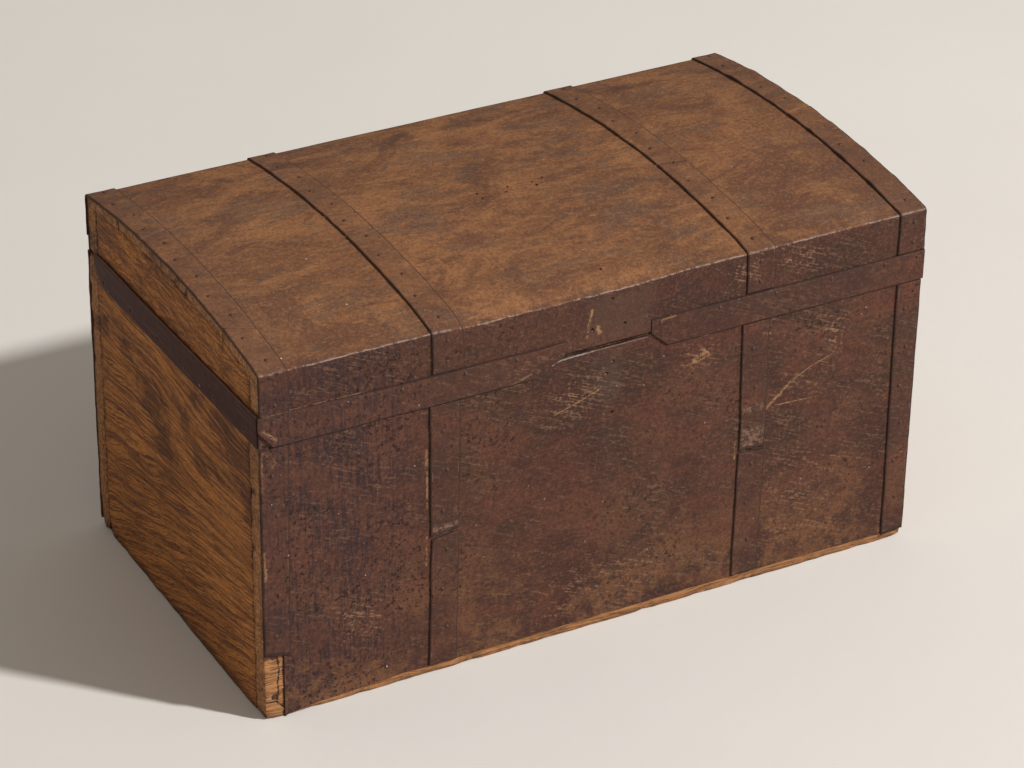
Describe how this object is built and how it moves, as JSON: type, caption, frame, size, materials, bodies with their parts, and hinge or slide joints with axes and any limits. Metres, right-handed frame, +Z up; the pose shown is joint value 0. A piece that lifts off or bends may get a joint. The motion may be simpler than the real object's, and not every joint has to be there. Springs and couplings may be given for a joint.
{
  "type": "travelling chest",
  "caption": "Shallow-domed wooden travelling chest with strap-bound cover sheets, a hinged lid, end lips and a front skirt over the joint.",
  "frame": {"origin": "middle of the chest's outline on the floor, halfway between the front-most tack heads and the hinge barrels", "axes": "+X along the length to the right as seen from the front, +Y to the back where the hinges are, +Z up"},
  "size_m": [0.6418, 0.3619, 0.3523],
  "materials": {
    "oak": "old oiled oak, worn and stained",
    "plain_board": "unfinished softwood, darkened by age",
    "body_cover": "thin hide, painted dark red-brown, scuffed",
    "lid_cover": "thin hide, brown, rubbed and dusty",
    "strap": "painted strap hide, rubbed at the edges",
    "black_lip": "thick black hide, smooth",
    "iron": "rusted dark iron"
  },
  "bodies": {
    "body": {"back_board": "oak", "back_cover": "body_cover", "back_strap_1": "strap", "back_strap_2": "strap", "back_strap_3": "strap", "back_strap_4": "strap", "back_strap_tacks": "iron", "body_hinge_screws": "iron", "bottom_plank_front": "plain_board", "bottom_plank_middle": "plain_board", "bottom_plank_rear": "plain_board", "carcass_nails": "iron", "end_lip_tacks": "iron", "front_board": "oak", "front_cover": "body_cover", "front_strap_left_corner": "strap", "front_strap_left_lower": "strap", "front_strap_left_upper": "strap", "front_strap_right_corner": "strap", "front_strap_right_lower": "strap", "front_strap_right_upper": "strap", "front_strap_tacks": "iron", "hinge_left_body_leaf": "iron", "hinge_left_pin": "iron", "hinge_right_body_leaf": "iron", "hinge_right_pin": "iron", "left_end_board": "oak", "left_end_lip": "black_lip", "right_end_board": "oak", "right_end_lip": "black_lip"},
    "lid": {"hinge_left_lid_leaf": "iron", "hinge_right_lid_leaf": "iron", "lid_back_rail": "oak", "lid_cover": "lid_cover", "lid_frame_nails": "iron", "lid_front_rail": "oak", "lid_hinge_screws": "iron", "lid_left_end": "oak", "lid_right_end": "oak", "lid_skirt_left": "strap", "lid_skirt_right": "strap", "lid_skirt_tacks": "iron", "lid_stave_1": "plain_board", "lid_stave_2": "plain_board", "lid_stave_3": "plain_board", "lid_stave_4": "plain_board", "lid_stave_5": "plain_board", "lid_strap_left_edge_front": "strap", "lid_strap_left_edge_middle": "strap", "lid_strap_left_edge_rear": "strap", "lid_strap_left_inner_front": "strap", "lid_strap_left_inner_middle": "strap", "lid_strap_left_inner_rear": "strap", "lid_strap_right_edge_front": "strap", "lid_strap_right_edge_rear": "strap", "lid_strap_right_inner_front": "strap", "lid_strap_right_inner_rear": "strap", "lid_strap_tacks": "iron"}
  },
  "joints": [
    {"name": "lid_hinge", "type": "hinge", "parent": "body", "child": "lid", "pos_m": [0, 0.17745, 0.2823], "axis": [-1, 0, 0], "range_deg": [0, 105]}
  ]
}
